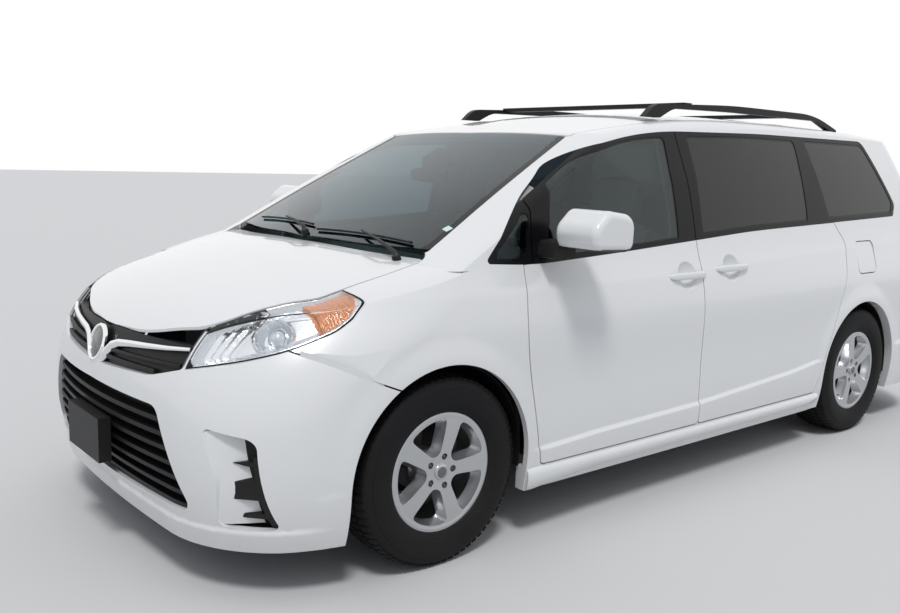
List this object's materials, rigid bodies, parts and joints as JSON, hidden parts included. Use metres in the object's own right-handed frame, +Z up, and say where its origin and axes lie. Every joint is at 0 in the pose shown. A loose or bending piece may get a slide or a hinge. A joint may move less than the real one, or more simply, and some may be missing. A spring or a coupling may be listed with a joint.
{
  "type": "minivan",
  "caption": "Passenger minivan with sliding rear side doors, liftgate, roof rails, steered front wheels and opening front doors and hood.",
  "frame": {"origin": "on the ground, on the centre plane, at mid length", "axes": "+X forward, +Y to the vehicle's left, +Z up"},
  "size_m": [5.0966, 2.42, 1.7885],
  "materials": {
    "white_paint": "white body paint with clear coat",
    "black_band": "black pillar and window frame finish",
    "side_glass": "tinted door glass",
    "dark_glass": "dark privacy glass",
    "screen_glass": "laminated windshield",
    "lens": "clear lamp lens",
    "red_lens": "red lamp lens",
    "lamp_chrome": "lamp bowl",
    "black_plastic": "grained black plastic",
    "tyre": "black tyre rubber",
    "alloy": "silver painted alloy",
    "iron": "dark chassis parts",
    "undercoat": "underbody coating",
    "engine": "engine block",
    "exhaust_steel": "exhaust steel",
    "trim": "pale cabin trim",
    "dash": "soft dashboard",
    "grip": "steering wheel rim",
    "seat": "grey beige seat cloth"
  },
  "bodies": {
    "body": {"body_sides": "white_paint", "cabin_lining": "trim", "cowl_panel": "black_plastic", "dashboard": "dash", "engine_block": "engine", "exhaust": "exhaust_steel", "fenders": "white_paint", "floor_pan": "undercoat", "front_bumper": "white_paint", "front_rails": "undercoat", "front_seats": "seat", "front_subframe": "iron", "fuel_tank": "undercoat", "grilles": "black_plastic", "headlamp_housings": "lamp_chrome", "headlamp_lenses": "lens", "plate_bracket": "black_plastic", "radiator": "black_plastic", "rear_axle": "iron", "rear_bumper": "white_paint", "rear_seats": "seat", "rear_side_glass": "dark_glass", "roof_panel": "white_paint", "roof_rails": "black_plastic", "slide_doors": "white_paint", "steering_wheel": "grip", "tail_lamps": "red_lens", "vent_glass": "side_glass", "wheel_liners": "black_plastic", "window_frames": "black_band", "windshield": "screen_glass"},
    "knuckle_left": {"knuckle_left": "iron"},
    "knuckle_right": {"knuckle_right": "iron"},
    "wheel_front_left_body": {"wheel_front_left": "alloy", "tyre_front_left": "tyre"},
    "wheel_front_right_body": {"wheel_front_right": "alloy", "tyre_front_right": "tyre"},
    "wheel_rear_left_body": {"wheel_rear_left": "alloy", "tyre_rear_left": "tyre"},
    "wheel_rear_right_body": {"wheel_rear_right": "alloy", "tyre_rear_right": "tyre"},
    "left_door": {"door_front_left": "white_paint", "door_frame_left": "black_band", "door_glass_left": "side_glass", "mirror_left": "white_paint"},
    "right_door": {"door_front_right": "white_paint", "door_frame_right": "black_band", "door_glass_right": "side_glass", "mirror_right": "white_paint"},
    "hood_lid": {"hood": "white_paint"},
    "tailgate": {"liftgate": "white_paint", "liftgate_glass": "dark_glass"},
    "filler_flap": {"fuel_flap": "white_paint"}
  },
  "joints": [
    {"name": "steer_left", "type": "hinge", "parent": "body", "child": "knuckle_left", "pos_m": [1.5925, 0.8, 0.357], "axis": [0, 0, 1], "range_deg": [-33, 33]},
    {"name": "steer_right", "type": "hinge", "parent": "body", "child": "knuckle_right", "pos_m": [1.5925, -0.8, 0.357], "axis": [0, 0, 1], "range_deg": [-33, 33]},
    {"name": "spin_front_left", "type": "hinge", "parent": "knuckle_left", "child": "wheel_front_left_body", "pos_m": [1.5925, 0.86, 0.357], "axis": [0, 1, 0], "continuous": true},
    {"name": "spin_front_right", "type": "hinge", "parent": "knuckle_right", "child": "wheel_front_right_body", "pos_m": [1.5925, -0.86, 0.357], "axis": [0, 1, 0], "continuous": true},
    {"name": "spin_rear_left", "type": "hinge", "parent": "body", "child": "wheel_rear_left_body", "pos_m": [-1.4375, 0.86, 0.357], "axis": [0, 1, 0], "continuous": true},
    {"name": "spin_rear_right", "type": "hinge", "parent": "body", "child": "wheel_rear_right_body", "pos_m": [-1.4375, -0.86, 0.357], "axis": [0, 1, 0], "continuous": true},
    {"name": "door_left", "type": "hinge", "parent": "body", "child": "left_door", "pos_m": [1.15, 0.99, 0.7], "axis": [0, 0, -1], "range_deg": [0, 65]},
    {"name": "door_right", "type": "hinge", "parent": "body", "child": "right_door", "pos_m": [1.15, -0.99, 0.7], "axis": [0, 0, 1], "range_deg": [0, 65]},
    {"name": "hood_hinge", "type": "hinge", "parent": "body", "child": "hood_lid", "pos_m": [1.44, 0, 1.125], "axis": [0, -1, 0], "range_deg": [0, 50]},
    {"name": "liftgate_hinge", "type": "hinge", "parent": "body", "child": "tailgate", "pos_m": [-1.985, 0, 1.712], "axis": [0, 1, 0], "range_deg": [0, 85]},
    {"name": "flap_hinge", "type": "hinge", "parent": "body", "child": "filler_flap", "pos_m": [-1.375, 0.976, 1], "axis": [0, 0, -1], "range_deg": [0, 90]}
  ],
  "couplings": [
    {"joint": "steer_right", "follows": "steer_left", "ratio": 1}
  ]
}
